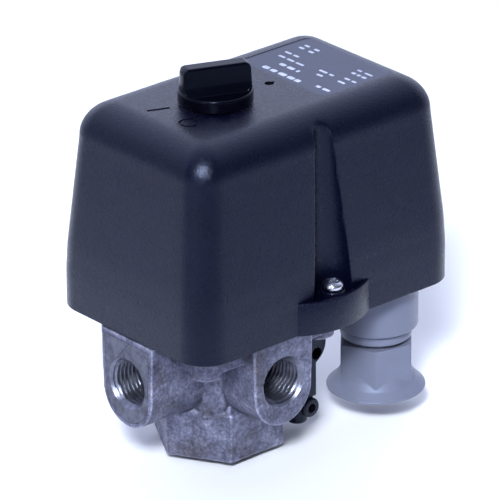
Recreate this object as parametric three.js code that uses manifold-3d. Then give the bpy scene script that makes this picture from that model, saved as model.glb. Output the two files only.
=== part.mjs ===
// Pressure switch for an air compressor: a die-cast port block, a base plate with the
// switching mechanism, a plastic cover with a rotary I / O knob, an unloader valve and a
// cable gland. Millimetres, +Z up, +X along the cover towards the cable gland.
// The origin is the centre of the hexagonal boss's bottom face, where the air line enters.

import * as THREE from 'three';
import { mergeVertices } from 'three/addons/utils/BufferGeometryUtils.js';
import Module from 'manifold-3d';

const wasm = await Module();
wasm.setup();

// ---- Driving dimensions ---------------------------------------------------------------

const GAP = 0.3; // running gap between neighbours

// Port block
const HEX_R = 18.2; // hexagonal boss, centre to vertex
const HEX_TOP = 13.5;
const CORE_Z = 17; // top of the shoulder between the boss and the core
const SHOULDER_R = 13.8; // centre to vertex at the shoulder's top
const CORE_HALF = 13.3; // octagonal core, half width
const CORE_FLAT = 9.8; // half length of its four wide sides
const ARM_W = 19.6; // width of a port arm
const ARM_FLARE = 0.45; // extra half width at an arm's top
const ARM_CZ = 22.2; // centre of the round underside of an arm
const ARM_X = 31.3; // port face of the arm on -X
const ARM_Y = 26.35; // port faces of the arms on -Y and +Y
const PORT_Z = 24.8; // axis of the side ports
const PORT_R = 5.9; // threaded wall of a side port
const PORT_CHAMFER_R = 7.15;
const PORT_DEPTH = 12;
const INLET_R = 9.3; // threaded wall of the bottom port
const INLET_DEPTH = 14;
const INLET_CHAMFER = 1.1;
const AIR_R = 2.4; // passages between the ports and the diaphragm
const CHAMBER_R = 11; // air chamber under the diaphragm
const CHAMBER_Z = 34; // its widest height, above a cone from CONE_Z
const CONE_Z = 31;
const SEAT_R = 15.2; // recess that seats the diaphragm
const SEAT_DEPTH = 1.4;
const DIAPHRAGM_R = 14.8;
const DIAPHRAGM_THICK = 1.1;
const FLANGE_TOP = 37.9;
const FLANGE_Z = 31.2; // underside of the flange plate
const FLANGE_X = 23.6; // half length of the flange plate
const FLANGE_Y = 22;
const FLANGE_CORNER = 4.2;
const FLANGE_BOLT_X = 19.4;
const FLANGE_BOLT_Y = 18;
const BOSS_R = 4.2; // boss under each flange screw
const BOSS_Z = 29.7;
const FLANGE_BOLTS = [-1, 1].flatMap((sx) => [-1, 1].map((sy) =>
  [sx * FLANGE_BOLT_X, sy * FLANGE_BOLT_Y]));
const BOLT_HOLE_R = 2;
const BOLT_HOLE_Z = 32.4; // floor of a flange screw's blind hole

// Cover
const COVER_Z = 38.3; // bottom edge
const COVER_TOP = 95.8;
const COVER_X0 = -31.3;
const COVER_X1 = 58.8;
const COVER_Y = 29.9;
const CORNER_LOW = 8.7; // radius of the upright corners at the bottom edge
const CORNER_HIGH = 7.1; // and at the top
const WALL_BEND_Z = 52.5; // the wall's draft grows above this height
const DRAFT_LOW = 0.15; // inward lean of the wall, bottom to bend
const DRAFT_HIGH = 3.2; // inward lean of the wall, bend to top fillet
const TOP_FILLET = 9.5;
const WALL = 2.2;
const SCREW_X = 14.3; // cover screws, one in each long side
const SCREW_Y = 29.4;
const TAB_HALF = 12.55;
const TAB_R = 22.5; // plan radius of a screw tab
const TAB_Y = 33.7; // furthest reach of a screw tab
const TAB_TOP = 47.5;
const TAB_FLOOR = 45.3;
const TAB_LIP = 1.3; // thickness of a tab's upright rim
const TAB_PLATE = 1.8; // thickness of a tab's floor
const POCKET_HALF = 8.5; // hollow behind a tab
const COVER_SCREW_HOLE_R = 2.1;
const COVER_SCREW_SEAT = 48.5; // underside of the head, on a boss that stands on the tab
const SEAT_BOSS_R = 3.3;
const GROOVE_R0 = 6.75; // radius of the tapered screw groove at the tab's floor
const GROOVE_R1 = 2.5; // and at the top of the cover
const GROOVE_BACK = 23.8; // its deepest line, from the middle plane

// Marks on the cover
const ENGRAVED = 0.4; // depth of the marks and of the label's recess
const MARK_RADIUS = 15.6; // from the knob's axis to the I and O marks
const MARK_I = 158; // bearing of the I, in degrees
const MARK_O = 203;
const BAR_HALF = 3.1; // the I is a bar, the O a ring
const BAR_THICK = 1.2;
const RING_R0 = 2.1;
const RING_R1 = 3;
const ARROW_X = [17.3, 20];
const LABEL_X = [22.9, 47.6];
const LABEL_Y = [-16.4, 17];
const LABEL_CORNER = 2.5;

// Knob
const KNOB_R = 9.9;
const KNOB_DISC = 3.6;
const KNOB_BEVEL = 0.6;
const KNOB_TOP = 106.4;
const KNOB_ANGLE = 157.5; // grip bar's direction at I
const GRIP_HALF = 9.15; // half length of the grip bar
const GRIP_THICK = 4.2;
const GRIP_HEIGHT = 7.8;
const GRIP_CORNER = 3.4;
const SHAFT_R = 3.2;
const CAM_Z0 = 84.6;
const CAM_Z1 = 88;
const CRANK = 8; // knob axis to crank pin
const CRANK_ANGLE = -112.5;
const CRANK_PIN_R = 1.5;
const CRANK_PIN_DROP = 3.6;

// Base plate and mechanism, in a frame of their own that LIFT raises into place
const LIFT = 1.5;
const BASE_Z0 = 36.7;
const BASE_Z1 = 40;
const DECK = BASE_Z1 + GAP; // where loose pieces rest on the base plate
const PIVOT_X = 9; // rocker pin
const PIVOT_Z = 47;
const PIN_R = 1.5;
const SPRING_X = -13; // main spring and adjusting screw
const SPRING_R = 5.2;
const PLATE_Z0 = 69; // spring plate that the adjusting screw bears on
const PLATE_Z1 = 71;
const BRIDGE_Z = 78.5; // top of the frame bracket
const CHEEK_Y = 11.5;
const SHEET = 1.6; // bracket sheet thickness
const POLE_X = [39.5, 46.5]; // the two contact poles
const CARRIER_Y = 8;
const TERMINAL_Y = 11.8; // terminal screws, each side of the carrier's middle
const CONTACT_Z = 53.8; // underside of the terminal plates
const LEVER_Z0 = 45.8; // rocker plate
const LEVER_Z1 = 48.2;
const EARTH_X = 30.2; // earth screw
const EARTH_Y = -16.5;

// Cable gland and unloader valve
const GLAND_X = 43.8;
const GLAND_Y = -13.9;
const GLAND_BORE = 5.4;
const COLLAR_R = 11.3; // collar under the base plate
const COLLAR_Z = 24.1;
const STEP_R = 9.6; // step between the collar and the cap nut
const STEP_Z = 21;
const STUB_R = 8.3; // threaded stub inside the cap nut
const STUB_Z = 13;
const SPIGOT_R = 7.4; // spigot through the base plate
const SPIGOT_Z = 41.3;
const NUT_R = 10.9; // cap nut, centre to vertex
const NUT_Z0 = 9;
const NUT_Z1 = 20;
const NUT_TURN = -72.5; // bearing of a vertex, in degrees
const NUT_BORE_R = 8.6;
const NUT_FLOOR = 10.4;
const SKIRT_R = 13.3; // flared rim of the cap nut
const RIM_Z = 5.7;
const VALVE_X = 20.7; // axis of the valve's tappet and outlet tube
const VALVE_Y = -8;
const VALVE_FRONT = -12;
const LUG_X = [14.6, 27.6];
const LUG_BACK = 4.4;
const LUG_Z0 = 17.6; // underside of the valve's lug, beside its stem
const LUG_Z1 = 30.9;
const STEM_X = [17.2, 24.1];
const STEM_BACK = -4.6;
const STEM_Z = 8;
const TUBE_R = 2.8; // outlet tube under the stem
const TUBE_Z = 0.2;
const NOZZLE_X = 21.6;
const NOZZLE_Z = 5.3;
const NOZZLE_R = 2.76;
const NOZZLE_REACH = 5.1;
const RECESS_X = 24.4; // round recess in the lug's front
const RECESS_Z = 20.1;
const RECESS_R = 1.6;
const VALVE_BORE_R = 2.1;
const VALVE_SCREW_X = 21;
const VALVE_SCREW_Y = 1.2;

// ---- Materials ------------------------------------------------------------------------

const finish = (color, roughness, metalness) =>
  new THREE.MeshStandardMaterial({ color, roughness, metalness });
const M = {
  cover: finish(0x2b2c38, 0.55, 0),
  knob: finish(0x0b0c12, 0.2, 0),
  cast: finish(0x8f92a8, 0.5, 0.85),
  zinc: finish(0xc8ccd6, 0.25, 1),
  steel: finish(0xaab0b8, 0.35, 1),
  brass: finish(0xc9a45a, 0.3, 1),
  copper: finish(0xc07a50, 0.3, 1),
  base: finish(0x33343a, 0.6, 0),
  cream: finish(0xd9d4c0, 0.5, 0),
  gland: finish(0x9497ad, 0.5, 0),
  rubber: finish(0x17181c, 0.8, 0),
  valve: finish(0x23242c, 0.45, 0),
};

// ---- Solid helpers --------------------------------------------------------------------

function solid(geometry) {
  const bare = new THREE.BufferGeometry();
  bare.setAttribute('position', geometry.getAttribute('position'));
  bare.setIndex(geometry.getIndex());
  const merged = mergeVertices(bare, 1e-4);
  return new wasm.Manifold(new wasm.Mesh({
    numProp: 3,
    vertProperties: new Float32Array(merged.getAttribute('position').array),
    triVerts: new Uint32Array(merged.getIndex().array),
  }));
}

function mesh(name, shape, material) {
  const data = shape.getMesh();
  const geometry = new THREE.BufferGeometry();
  geometry.setAttribute('position', new THREE.BufferAttribute(data.vertProperties, 3));
  geometry.setIndex(new THREE.BufferAttribute(data.triVerts, 1));
  geometry.computeVertexNormals();
  const node = new THREE.Mesh(geometry, material);
  node.name = name;
  return node;
}

const union = (...shapes) => shapes.reduce((a, b) => a.add(b));

function box(x0, x1, y0, y1, z0, z1) {
  return solid(new THREE.BoxGeometry(x1 - x0, y1 - y0, z1 - z0))
    .translate([(x0 + x1) / 2, (y0 + y1) / 2, (z0 + z1) / 2]);
}

// A round bar along +Z.
function rod(x, y, r, z0, z1, sides = 24) {
  return solid(new THREE.CylinderGeometry(r, r, z1 - z0, sides))
    .rotate([90, 0, 0]).translate([x, y, (z0 + z1) / 2]);
}

// A solid of revolution about the vertical through (x, y); points are [radius, z].
function turned(x, y, points, sides = 32) {
  const profile = points.map(([r, z]) => new THREE.Vector2(r, z));
  return solid(new THREE.LatheGeometry(profile, sides)).rotate([90, 0, 0]).translate([x, y, 0]);
}

// An outline in XY, pushed up from z0 to z1.
function slab(outline, z0, z1, curveSegments = 6) {
  const options = { depth: z1 - z0, bevelEnabled: false, curveSegments };
  return solid(new THREE.ExtrudeGeometry(outline, options)).translate([0, 0, z0]);
}

function polygon(points) {
  return new THREE.Shape(points.map(([x, y]) => new THREE.Vector2(x, y)));
}

function ringPoints(r, count, turn = 0) {
  return Array.from({ length: count }, (_, i) => {
    const a = turn + (2 * Math.PI * i) / count;
    return [r * Math.cos(a), r * Math.sin(a)];
  });
}

function roundedRect(x0, x1, y0, y1, r) {
  const s = new THREE.Shape();
  s.moveTo(x0 + r, y0);
  s.lineTo(x1 - r, y0);
  s.absarc(x1 - r, y0 + r, r, -Math.PI / 2, 0);
  s.lineTo(x1, y1 - r);
  s.absarc(x1 - r, y1 - r, r, 0, Math.PI / 2);
  s.lineTo(x0 + r, y1);
  s.absarc(x0 + r, y1 - r, r, Math.PI / 2, Math.PI);
  s.lineTo(x0, y0 + r);
  s.absarc(x0 + r, y0 + r, r, Math.PI, 1.5 * Math.PI);
  return s;
}

// A stack of closed outlines with equal point counts, skinned and capped.
function loft(sections) {
  const n = sections[0].points.length;
  const position = sections.flatMap(({ points, z }) => points.flatMap(([x, y]) => [x, y, z]));
  const index = [];
  for (let k = 0; k < sections.length - 1; k += 1) {
    for (let i = 0; i < n; i += 1) {
      const a = k * n + i;
      const b = k * n + ((i + 1) % n);
      index.push(a, b, b + n, a, b + n, a + n);
    }
  }
  const last = (sections.length - 1) * n;
  for (let i = 1; i < n - 1; i += 1) {
    index.push(0, i + 1, i, last, last + i, last + i + 1);
  }
  const geometry = new THREE.BufferGeometry();
  geometry.setAttribute('position', new THREE.Float32BufferAttribute(position, 3));
  geometry.setIndex(index);
  return solid(geometry);
}

// A helical wire spring standing on z0, closed at both ends by short caps.
function coil(x, y, r, wire, z0, z1, turns, perTurn = 10) {
  const path = new THREE.CurvePath();
  path.getPoint = (t) => {
    const a = 2 * Math.PI * turns * t;
    const z = z0 + wire + (z1 - z0 - 2 * wire) * t;
    return new THREE.Vector3(x + r * Math.cos(a), y + r * Math.sin(a), z);
  };
  path.getPointAt = path.getPoint;
  path.getTangent = (t) => {
    const a = 2 * Math.PI * turns * t;
    const rise = (z1 - z0 - 2 * wire) / (2 * Math.PI * turns);
    return new THREE.Vector3(-r * Math.sin(a), r * Math.cos(a), rise).normalize();
  };
  path.getTangentAt = path.getTangent;
  const section = polygon(ringPoints(wire, 6));
  const options = { steps: Math.round(turns * perTurn), extrudePath: path };
  return solid(new THREE.ExtrudeGeometry(section, options));
}

// ---- Cover ----------------------------------------------------------------------------

function coverOutline(inset, r, arcSteps = 6) {
  const corners = [
    [COVER_X1 - inset - r, -COVER_Y + inset + r, -90],
    [COVER_X1 - inset - r, COVER_Y - inset - r, 0],
    [COVER_X0 + inset + r, COVER_Y - inset - r, 90],
    [COVER_X0 + inset + r, -COVER_Y + inset + r, 180],
  ];
  return corners.flatMap(([x, y, start]) => Array.from({ length: arcSteps + 1 }, (_, i) => {
    const a = THREE.MathUtils.degToRad(start + (90 * i) / arcSteps);
    return [x + r * Math.cos(a), y + r * Math.sin(a)];
  }));
}

// The cover's body, offset inwards by `inner` for its hollow.
function coverBody(inner, bottom) {
  const filletZ = COVER_TOP - TOP_FILLET;
  const lean = (z) => (z < WALL_BEND_Z
    ? (DRAFT_LOW * (z - COVER_Z)) / (WALL_BEND_Z - COVER_Z)
    : DRAFT_LOW + (DRAFT_HIGH * (z - WALL_BEND_Z)) / (filletZ - WALL_BEND_Z));
  const cornerR = (z) => CORNER_LOW
    - ((CORNER_LOW - CORNER_HIGH) * (z - COVER_Z)) / (COVER_TOP - COVER_Z);
  const section = (z, extra, dropZ) => ({
    z: z - dropZ,
    points: coverOutline(lean(Math.min(z, filletZ)) + extra, cornerR(z) - extra * 0.6),
  });
  const levels = [bottom, WALL_BEND_Z, filletZ].map((z) => section(z, inner, inner));
  levels[0].z = bottom;
  levels[1].z = WALL_BEND_Z;
  const steps = 5;
  for (let i = 1; i <= steps; i += 1) {
    const a = (Math.PI / 2 / steps) * i;
    const rise = TOP_FILLET * Math.sin(a);
    levels.push(section(filletZ + rise, inner + TOP_FILLET * (1 - Math.cos(a)), inner));
  }
  return loft(levels);
}

// The arc-shaped bulge that carries a cover screw, on the -Y side.
function tab(reach, half, z0, z1, back) {
  const centre = TAB_R - reach;
  const spread = Math.asin(half / TAB_R);
  const arc = Array.from({ length: 13 }, (_, i) => {
    const a = -Math.PI / 2 - spread + (2 * spread * i) / 12;
    return [SCREW_X + TAB_R * Math.cos(a), centre + TAB_R * Math.sin(a)];
  });
  return slab(polygon([...arc, [SCREW_X + half, back], [SCREW_X - half, back]]), z0, z1);
}

function bothSides(shape) {
  return shape.add(shape.mirror([0, 1, 0]));
}

// The upright tapered groove that lets a screwdriver reach the cover screw, on the -Y side,
// grown all round by `extra`.
function taperedGroove(x, z0, extra) {
  const section = (z, r) => ({
    z,
    points: ringPoints(r + extra, 40).map(([px, py]) => [x + px, py - GROOVE_BACK - r]),
  });
  return loft([section(z0, GROOVE_R0), section(COVER_TOP, GROOVE_R1)]);
}

function makeCover() {
  const tabs = bothSides(tab(TAB_Y, TAB_HALF, COVER_Z, TAB_TOP, -COVER_Y + 4));
  const trays = bothSides(
    tab(TAB_Y - TAB_LIP, TAB_HALF - TAB_LIP, TAB_FLOOR, TAB_TOP + 1, -COVER_Y + 0.6),
  );
  const underTab = TAB_FLOOR - TAB_PLATE;
  const pockets = bothSides(tab(TAB_Y - 1.4, POCKET_HALF, COVER_Z - 1, underTab, -COVER_Y + 6));
  const grooveX = SCREW_X - 0.1;
  const scoop = taperedGroove(grooveX, TAB_FLOOR, 0);
  const aheadOfWall = box(grooveX - 9, grooveX + 9, -COVER_Y - 12, -COVER_Y + 0.2, 40, TAB_TOP + 1);
  const groove = bothSides(scoop);
  const recessBehindLip = bothSides(scoop.subtract(aheadOfWall));
  const grooveWalls = bothSides(taperedGroove(grooveX, underTab, WALL - 0.4));
  const seatZ = COVER_SCREW_SEAT - GAP;
  const seats = bothSides(rod(SCREW_X, -SCREW_Y, SEAT_BOSS_R, TAB_FLOOR - 0.5, seatZ, 20));
  const screwHoles = bothSides(rod(SCREW_X, -SCREW_Y, COVER_SCREW_HOLE_R, COVER_Z, seatZ + 1, 16));
  const hollow = coverBody(WALL, COVER_Z - 1).subtract(grooveWalls).add(pockets);
  const shaftHole = rod(0, 0, SHAFT_R + GAP, COVER_TOP - 5, COVER_TOP + 1, 24);
  const z0 = COVER_TOP - ENGRAVED;
  const above = COVER_TOP + 1;
  const arrow = slab(polygon([[ARROW_X[0], -1.2], [ARROW_X[1], 0], [ARROW_X[0], 1.2]]), z0, above);
  const label = slab(roundedRect(...LABEL_X, ...LABEL_Y, LABEL_CORNER), z0, above, 4);
  const markI = box(-BAR_HALF, BAR_HALF, -BAR_THICK / 2, BAR_THICK / 2, z0, above)
    .translate([MARK_RADIUS, 0, 0]).rotate([0, 0, MARK_I]);
  const markO = turned(MARK_RADIUS, 0, [[RING_R0, z0], [RING_R1, z0], [RING_R1, above],
    [RING_R0, above], [RING_R0, z0]], 20).rotate([0, 0, MARK_O]);
  return coverBody(0, COVER_Z).subtract(groove).add(tabs).subtract(trays)
    .subtract(recessBehindLip).subtract(hollow).add(seats)
    .subtract(screwHoles).subtract(shaftHole).subtract(arrow).subtract(label)
    .subtract(markI).subtract(markO);
}

// ---- Knob -----------------------------------------------------------------------------

function makeKnob() {
  const z0 = COVER_TOP + GAP;
  const z1 = z0 + KNOB_DISC;
  const disc = turned(0, 0, [[0, z0], [KNOB_R, z0], [KNOB_R, z1 - KNOB_BEVEL],
    [KNOB_R - KNOB_BEVEL, z1], [0, z1]], 40);
  const bend = GRIP_HEIGHT - GRIP_CORNER;
  const flat = GRIP_HALF - GRIP_CORNER;
  const profile = new THREE.Shape();
  profile.moveTo(-GRIP_HALF, 0);
  profile.lineTo(GRIP_HALF, 0);
  profile.lineTo(GRIP_HALF, bend);
  profile.absarc(flat, bend, GRIP_CORNER, 0, Math.PI / 2);
  profile.lineTo(-flat, GRIP_HEIGHT);
  profile.absarc(-flat, bend, GRIP_CORNER, Math.PI / 2, Math.PI);
  const grip = slab(profile, -GRIP_THICK / 2, GRIP_THICK / 2).rotate([90, 0, 0])
    .translate([0, 0, KNOB_TOP - GRIP_HEIGHT]).rotate([0, 0, KNOB_ANGLE]);
  const shaft = rod(0, 0, SHAFT_R, CAM_Z1, z0, 24);
  const camEnd = CRANK + 2.2;
  const cam = slab(polygon([[-SHAFT_R, -SHAFT_R], [camEnd, -2.2], [camEnd, 2.2],
    [-SHAFT_R, SHAFT_R]]), CAM_Z0, CAM_Z1 + 0.1);
  const pin = rod(CRANK, 0, CRANK_PIN_R, CAM_Z0 - CRANK_PIN_DROP, CAM_Z0 + 0.5, 16);
  return union(disc, grip, shaft, union(cam, pin).rotate([0, 0, CRANK_ANGLE]));
}

// ---- Port block -----------------------------------------------------------------------

// A port arm reaching along +X to `reach`: a U section, a little wider towards the top.
function arm(reach) {
  const r = ARM_W / 2;
  const top = r + ARM_FLARE;
  const s = new THREE.Shape();
  s.moveTo(-r, ARM_CZ);
  s.absarc(0, ARM_CZ, r, Math.PI, 2 * Math.PI);
  s.lineTo(top, FLANGE_TOP);
  s.lineTo(-top, FLANGE_TOP);
  return slab(s, 0, reach, 10).rotate([90, 0, 0]).rotate([0, 0, 90]);
}

// Stepped bore of a side port, opening along +X at `reach`.
function port(reach) {
  const bore = turned(0, 0, [[0, 0], [AIR_R, 0], [AIR_R, reach - PORT_DEPTH - 1.5],
    [PORT_R, reach - PORT_DEPTH], [PORT_R, reach - PORT_CHAMFER_R + PORT_R],
    [PORT_CHAMFER_R, reach], [PORT_CHAMFER_R, reach + 2], [0, reach + 2]], 32);
  return bore.rotate([0, 90, 0]).translate([0, 0, PORT_Z]);
}

function makeFlange() {
  const arms = [[ARM_X, 180], [ARM_Y, 270], [ARM_Y, 90]];
  const hex = slab(polygon(ringPoints(HEX_R, 6)), 0, HEX_TOP);
  const [h, f] = [CORE_HALF, CORE_FLAT];
  const core = slab(polygon([[h, f], [f, h], [-f, h], [-h, f], [-h, -f], [-f, -h], [f, -h],
    [h, -f]]), HEX_TOP - 1, FLANGE_TOP);
  const shoulder = loft([
    { z: HEX_TOP - 0.1, points: ringPoints(HEX_R, 6) },
    { z: CORE_Z, points: ringPoints(SHOULDER_R, 6) },
  ]);
  const plate = slab(
    roundedRect(-FLANGE_X, FLANGE_X, -FLANGE_Y, FLANGE_Y, FLANGE_CORNER), FLANGE_Z, FLANGE_TOP, 5,
  );
  let body = union(hex, shoulder, core, plate, ...arms.map(([reach, turn]) =>
    arm(reach).rotate([0, 0, turn])));
  for (const [x, y] of FLANGE_BOLTS) body = body.add(rod(x, y, BOSS_R, BOSS_Z, FLANGE_TOP, 20));
  for (const [reach, turn] of arms) body = body.subtract(port(reach).rotate([0, 0, turn]));
  const mouth = INLET_R + INLET_CHAMFER;
  const seatZ = FLANGE_TOP - SEAT_DEPTH;
  const above = FLANGE_TOP + 2;
  const inlet = turned(0, 0, [[0, -1], [mouth, -1], [mouth, 0], [INLET_R, INLET_CHAMFER],
    [INLET_R, INLET_DEPTH], [AIR_R, INLET_DEPTH + 3], [AIR_R, CONE_Z], [CHAMBER_R, CHAMBER_Z],
    [CHAMBER_R, seatZ], [SEAT_R, seatZ], [SEAT_R, above], [0, above]], 32);
  body = body.subtract(inlet);
  for (const [x, y] of FLANGE_BOLTS) {
    body = body.subtract(rod(x, y, BOLT_HOLE_R, BOLT_HOLE_Z, above, 12));
  }
  return body.subtract(rod(VALVE_X, VALVE_Y, VALVE_BORE_R + 0.1, BOSS_Z - 1.7, above, 16))
    .subtract(turned(VALVE_SCREW_X, VALVE_SCREW_Y, [[0, CONE_Z], [1.35, CONE_Z],
      [1.35, CONE_Z + 3.7], [0, CONE_Z + 3.7]], 12));
}

// ---- Unloader valve -------------------------------------------------------------------

function makeValveBody() {
  const roundR = 6.2;
  const lug = new THREE.Shape();
  lug.moveTo(LUG_X[0], LUG_Z0);
  lug.lineTo(STEM_X[1], LUG_Z0);
  lug.absarc(LUG_X[1] - roundR, 23.2, roundR, -Math.PI / 3.1, 0);
  lug.lineTo(LUG_X[1], LUG_Z1);
  lug.lineTo(LUG_X[0], LUG_Z1);
  const upper = slab(lug, -LUG_BACK, -VALVE_FRONT).rotate([90, 0, 0]);
  const stem = box(...STEM_X, VALVE_FRONT, STEM_BACK, STEM_Z, LUG_Z0 + 1);
  const tube = turned(VALVE_X, VALVE_Y, [[0, TUBE_Z], [TUBE_R - 0.4, TUBE_Z], [TUBE_R, TUBE_Z + 0.6],
    [TUBE_R, STEM_Z + 1], [0, STEM_Z + 1]], 20);
  const nozzle = turned(0, 0, [[0, 0], [2.2, 0], [2.2, NOZZLE_REACH - 1.9],
    [NOZZLE_R, NOZZLE_REACH - 1.5], [NOZZLE_R, NOZZLE_REACH - 0.4], [2.4, NOZZLE_REACH],
    [0, NOZZLE_REACH]], 20).rotate([90, 0, 0]).translate([NOZZLE_X, VALVE_Y, NOZZLE_Z]);
  const nozzleBore = turned(0, 0, [[0, 1], [1.2, 1], [1.2, 6], [0, 6]], 12)
    .rotate([90, 0, 0]).translate([NOZZLE_X, VALVE_Y, NOZZLE_Z]);
  const recess = turned(0, 0, [[0, 0], [RECESS_R, 0], [RECESS_R, 6], [0, 6]], 16)
    .rotate([90, 0, 0]).translate([RECESS_X, VALVE_FRONT + 3, RECESS_Z]);
  const bore = rod(VALVE_X, VALVE_Y, VALVE_BORE_R, 17, 32, 16);
  const drain = rod(VALVE_X, VALVE_Y, 0.9, 3, 18, 10);
  const screwHole = rod(VALVE_SCREW_X, VALVE_SCREW_Y, 1.5, 10, 32, 12);
  return union(upper, stem, tube, nozzle).subtract(nozzleBore).subtract(recess)
    .subtract(bore).subtract(drain).subtract(screwHole);
}

function makeValveScrew() {
  return turned(VALVE_SCREW_X, VALVE_SCREW_Y, [[0, LUG_Z0 - 2.4], [2.2, LUG_Z0 - 2.4],
    [2.2, LUG_Z0 - GAP], [1.1, LUG_Z0 - GAP], [1.1, 34.2], [0, 34.2]], 12);
}

function makeTappet() {
  return turned(VALVE_X, VALVE_Y, [[0, 22], [1.1, 22], [1.1, 25], [1.8, 25], [1.8, 27],
    [1.1, 27], [1.1, 46.3], [0.6, 46.9], [0, 46.9]], 16);
}

// ---- Cable gland ----------------------------------------------------------------------

function makeGlandBody() {
  return turned(GLAND_X, GLAND_Y, [[GLAND_BORE, STUB_Z], [STUB_R, STUB_Z], [STUB_R, STEP_Z],
    [STEP_R, STEP_Z], [STEP_R, COLLAR_Z], [COLLAR_R - 0.5, COLLAR_Z], [COLLAR_R, COLLAR_Z + 0.5],
    [COLLAR_R, FLANGE_TOP], [SPIGOT_R, FLANGE_TOP], [SPIGOT_R, SPIGOT_Z],
    [GLAND_BORE, SPIGOT_Z], [GLAND_BORE, STUB_Z]], 36);
}

function makeGlandNut() {
  const hex = slab(polygon(ringPoints(NUT_R, 6, THREE.MathUtils.degToRad(NUT_TURN))), NUT_Z0, NUT_Z1)
    .translate([GLAND_X, GLAND_Y, 0]);
  const cone = NUT_Z1 + 0.4;
  const trim = turned(GLAND_X, GLAND_Y, [[0, NUT_Z0 - 0.1], [NUT_R + 1.6, NUT_Z0 - 0.1],
    [NUT_R + 1.6, NUT_Z1 - 1.4], [NUT_R - 1.6, cone], [0, cone]], 36);
  const skirt = turned(GLAND_X, GLAND_Y, [[0, RIM_Z], [SKIRT_R, RIM_Z], [SKIRT_R, RIM_Z + 0.9],
    [9.5, RIM_Z + 4.9], [8.8, RIM_Z + 6.9], [0, RIM_Z + 6.9]], 36);
  const hollowR = SKIRT_R - 1.7;
  const bore = turned(GLAND_X, GLAND_Y, [[0, RIM_Z - 0.7], [hollowR, RIM_Z - 0.7],
    [hollowR, RIM_Z + 0.5], [GLAND_BORE, NUT_FLOOR - 1], [GLAND_BORE, NUT_FLOOR],
    [NUT_BORE_R, NUT_FLOOR], [NUT_BORE_R, NUT_Z1 + 1], [0, NUT_Z1 + 1]], 36);
  return hex.intersect(trim).add(skirt).subtract(bore);
}

function makeGlandSeal() {
  const [r0, r1] = [4.2, 8.1];
  const [z0, z1] = [NUT_FLOOR + GAP, STUB_Z - GAP];
  return turned(GLAND_X, GLAND_Y, [[r0, z0], [r1, z0], [r1, z1], [r0, z1], [r0, z0]], 28);
}

// ---- Base plate -----------------------------------------------------------------------

function makeBasePlate() {
  const x0 = COVER_X0 + WALL + 0.5;
  const x1 = COVER_X1 - WALL - 0.5;
  const y1 = COVER_Y - WALL - 0.5;
  let plate = slab(roundedRect(x0, x1, -y1, y1, 8), BASE_Z0, BASE_Z1, 5);
  for (const sy of [-1, 1]) {
    plate = plate.add(rod(SCREW_X, sy * SCREW_Y, 2.6, BASE_Z0, 41.5, 20));
  }
  for (const sy of [-1, 1]) {
    plate = plate.subtract(rod(SCREW_X, sy * SCREW_Y, 1.8, BASE_Z0 - 1, 43, 16));
  }
  for (const [x, y] of FLANGE_BOLTS) {
    plate = plate.subtract(rod(x, y, BOLT_HOLE_R + 0.2, BASE_Z0 - 1, BASE_Z1 + 1, 12));
  }
  return plate.subtract(rod(0, 0, 10.2, BASE_Z0 - 1, BASE_Z1 + 1, 32))
    .subtract(rod(GLAND_X, GLAND_Y, SPIGOT_R + GAP, BASE_Z0 - 1, BASE_Z1 + 1, 32))
    .subtract(rod(VALVE_X, VALVE_Y, 1.7, BASE_Z0 - 1, BASE_Z1 + 1, 16));
}

// ---- Pressure side and lever ----------------------------------------------------------

function makePressurePlate() {
  return turned(0, 0, [[0, 36.8], [9.6, 36.8], [9.6, 38.8], [3.2, 39.6], [3.2, 44],
    [1.4, 45.4], [0, 45.4]], 28);
}

function makeDiaphragm() {
  return rod(0, 0, DIAPHRAGM_R, FLANGE_TOP - DIAPHRAGM_THICK, FLANGE_TOP, 32);
}

function makeBracket() {
  const side = polygon([[-22, DECK], [15, DECK], [15, 52], [-4.5, 62], [-4.5, BRIDGE_Z],
    [-22, BRIDGE_Z]]);
  const window = polygon([[-18, 54], [-8, 54], [-8, 74], [-18, 74]]);
  const cheek = slab(side, CHEEK_Y, CHEEK_Y + SHEET).subtract(slab(window, 10, 15))
    .rotate([90, 0, 0]);
  const bridge = box(-22, -4.5, -CHEEK_Y - 0.5, CHEEK_Y + 0.5, BRIDGE_Z - SHEET, BRIDGE_Z);
  const pinHole = rod(0, 0, PIN_R + 0.1, -20, 20, 20).rotate([90, 0, 0])
    .translate([PIVOT_X, 0, PIVOT_Z]);
  return union(cheek, cheek.mirror([0, 1, 0]), bridge).subtract(pinHole)
    .subtract(rod(SPRING_X, 0, 2.2, BRIDGE_Z - 3, BRIDGE_Z + 1, 16));
}

function makeRocker() {
  const plate = box(-21, 33, -9, 9, LEVER_Z0, LEVER_Z1);
  const neck = box(15, 34, -10, -3.2, 44, 50);
  const hub = rod(0, 0, 3.1, -9, 9, 24).rotate([90, 0, 0]).translate([PIVOT_X, 0, PIVOT_Z]);
  const pinHole = rod(0, 0, PIN_R + 0.1, -20, 20, 20).rotate([90, 0, 0])
    .translate([PIVOT_X, 0, PIVOT_Z]);
  const seat = turned(SPRING_X, 0, [[0, 48], [3.4, 48], [3.4, 49.6], [0, 49.6]], 16);
  return plate.subtract(neck).add(box(15, 24, -9.5, 0, LEVER_Z0, LEVER_Z1)).add(hub).add(seat)
    .subtract(pinHole);
}

// The screw is threaded in the bracket's bridge and its tip pushes the spring plate down.
function makeAdjustingScrew() {
  const headZ = BRIDGE_Z + 1.3;
  const head = slab(polygon(ringPoints(4, 6)), headZ, headZ + 3.1).translate([SPRING_X, 0, 0]);
  return head.add(rod(SPRING_X, 0, 1.9, PLATE_Z1 + GAP, headZ + 1, 16))
    .subtract(box(SPRING_X - 5, SPRING_X + 5, -0.5, 0.5, headZ + 1.9, headZ + 5));
}

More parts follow.
